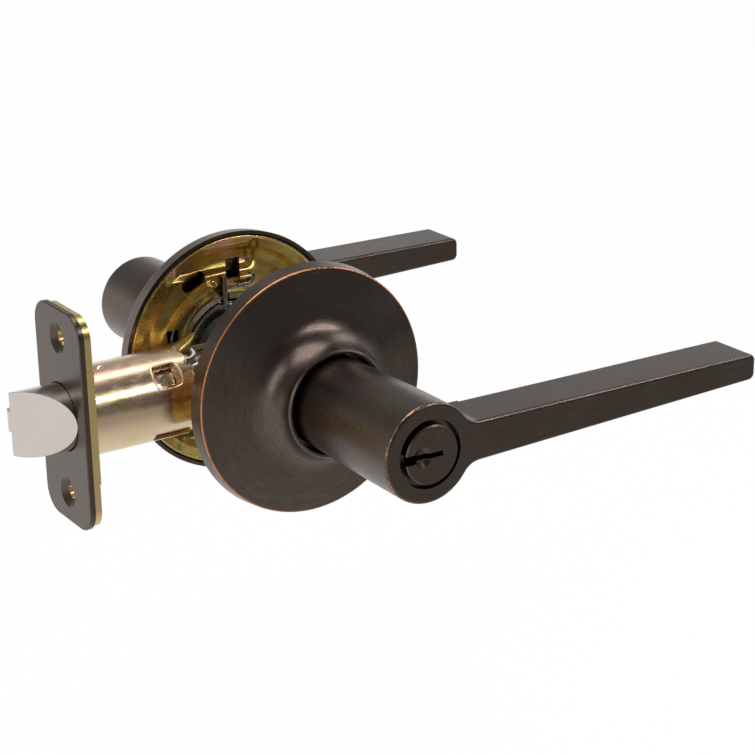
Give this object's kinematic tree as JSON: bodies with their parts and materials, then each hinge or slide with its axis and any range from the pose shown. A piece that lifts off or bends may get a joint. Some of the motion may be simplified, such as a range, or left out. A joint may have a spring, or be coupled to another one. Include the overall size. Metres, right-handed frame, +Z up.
{
  "type": "lever handle lockset",
  "caption": "Keyed lever handle lockset through a door: two levers with roses, a turn button, and a deadlocking spring latch with its faceplate.",
  "frame": {"origin": "where the levers' turning axis crosses the latch axis, half way through a 35 mm door", "axes": "+Z up; -Y the keyed exterior side, +Y the interior side; -X the door's edge and the latch bolt, +X the levers' tips"},
  "size_m": [0.177, 0.1529, 0.0666],
  "materials": {
    "dark_bronze": "oil rubbed bronze, satin, copper showing at worn edges",
    "yellow_zinc": "yellow chromate zinc plate",
    "spring_steel": "bright zinc and spring steel",
    "satin_nickel": "satin nickel plate",
    "brass": "turned brass",
    "black_plastic": "moulded acetal"
  },
  "bodies": {
    "lockset_frame": {"backing_plate": "yellow_zinc", "bolt_guide": "black_plastic", "bolt_spring": "spring_steel", "exterior_mounting_plate": "yellow_zinc", "exterior_return_spring": "spring_steel", "exterior_rose": "dark_bronze", "exterior_spring_cage": "spring_steel", "faceplate": "dark_bronze", "interior_mounting_plate": "yellow_zinc", "interior_return_spring": "spring_steel", "interior_rose": "dark_bronze", "interior_spring_cage": "spring_steel", "latch_case": "yellow_zinc", "latch_tube": "yellow_zinc", "plunger_spring": "spring_steel", "screw_posts": "yellow_zinc", "through_bolts": "yellow_zinc"},
    "interior_handle": {"interior_lever": "dark_bronze", "interior_spindle": "spring_steel", "interior_retaining_ring": "spring_steel", "interior_lever_catch": "spring_steel"},
    "exterior_handle": {"exterior_lever": "dark_bronze", "exterior_spindle": "spring_steel", "exterior_retaining_ring": "spring_steel", "exterior_lever_catch": "spring_steel", "cylinder_body": "brass", "driver_pins": "brass", "pin_springs": "spring_steel"},
    "key_plug": {"key_plug": "dark_bronze", "key_pins": "brass", "plug_clip": "spring_steel", "tailpiece": "spring_steel"},
    "turn_button": {"turn_button": "dark_bronze", "button_stem": "spring_steel"},
    "latch_hub": {"latch_hub": "spring_steel"},
    "latch_bolt": {"latch_bolt": "satin_nickel", "bolt_tail": "spring_steel"},
    "deadlatch_plunger": {"deadlatch_plunger": "satin_nickel"}
  },
  "joints": [
    {"name": "interior_lever_turn", "type": "hinge", "parent": "lockset_frame", "child": "interior_handle", "pos_m": [0, 0, 0], "axis": [0, 1, 0], "range_deg": [0, 55], "stiffness_Nm_per_rad": 0.35, "springref_deg": -28.65},
    {"name": "exterior_lever_turn", "type": "hinge", "parent": "lockset_frame", "child": "exterior_handle", "pos_m": [0, 0, 0], "axis": [0, 1, 0], "range_deg": [0, 55]},
    {"name": "hub_turn", "type": "hinge", "parent": "lockset_frame", "child": "latch_hub", "pos_m": [0, 0, 0], "axis": [0, 1, 0], "range_deg": [0, 55]},
    {"name": "bolt_slide", "type": "slide", "parent": "lockset_frame", "child": "latch_bolt", "axis": [1, 0, 0], "range_m": [0, 0.0127], "deforming": ["bolt_spring"]},
    {"name": "plunger_slide", "type": "slide", "parent": "lockset_frame", "child": "deadlatch_plunger", "axis": [1, 0, 0], "range_m": [0, 0.012], "stiffness_N_per_m": 60, "springref_m": -0.012, "deforming": ["plunger_spring"]},
    {"name": "key_turn", "type": "hinge", "parent": "exterior_handle", "child": "key_plug", "pos_m": [0, 0, 0], "axis": [0, 1, 0], "range_deg": [0, 90]},
    {"name": "button_turn", "type": "hinge", "parent": "interior_handle", "child": "turn_button", "pos_m": [0, 0, 0], "axis": [0, 1, 0], "range_deg": [0, 90]}
  ],
  "couplings": [
    {"joint": "exterior_lever_turn", "follows": "interior_lever_turn", "ratio": 1},
    {"joint": "hub_turn", "follows": "interior_lever_turn", "ratio": 1},
    {"joint": "bolt_slide", "follows": "interior_lever_turn", "m_per_rad": 0.01323},
    {"joint": "button_turn", "follows": "key_turn", "ratio": 1}
  ]
}
